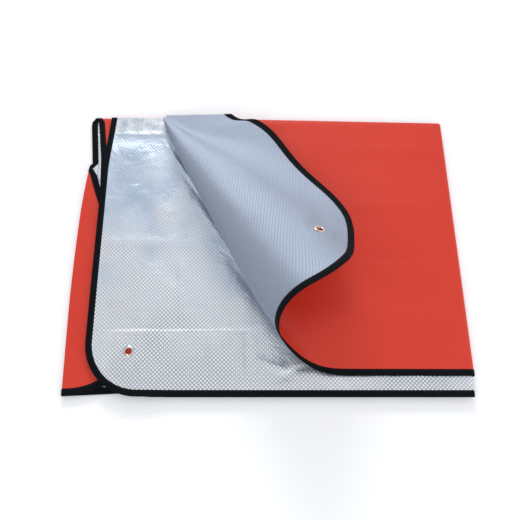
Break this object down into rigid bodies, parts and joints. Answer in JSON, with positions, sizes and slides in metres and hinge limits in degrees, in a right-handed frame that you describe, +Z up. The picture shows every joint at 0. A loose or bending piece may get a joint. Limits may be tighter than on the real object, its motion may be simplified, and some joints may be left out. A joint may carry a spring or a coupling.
{
  "type": "emergency foil blanket",
  "caption": "Reinforced foil blanket, silver one side and red-orange the other, with a black bound edge and corner eyelets, folded in quarters with its top corner peeled back.",
  "frame": {"origin": "on the floor, under the middle of the folded pack", "axes": "+X to the right along the folded pack's long side, +Y to its back fold, +Z up"},
  "size_m": [0.7897, 0.6112, 0.1959],
  "materials": {
    "laminate": "satin red-orange film on one face and aluminised film on the other",
    "tape": "matte woven tape",
    "eyelet_metal": "nickel plated, semi-bright"
  },
  "bodies": {
    "root": {"sheet": "laminate", "binding": "tape", "eyelet_peeled": "eyelet_metal", "eyelet_front": "eyelet_metal"}
  },
  "joints": []
}
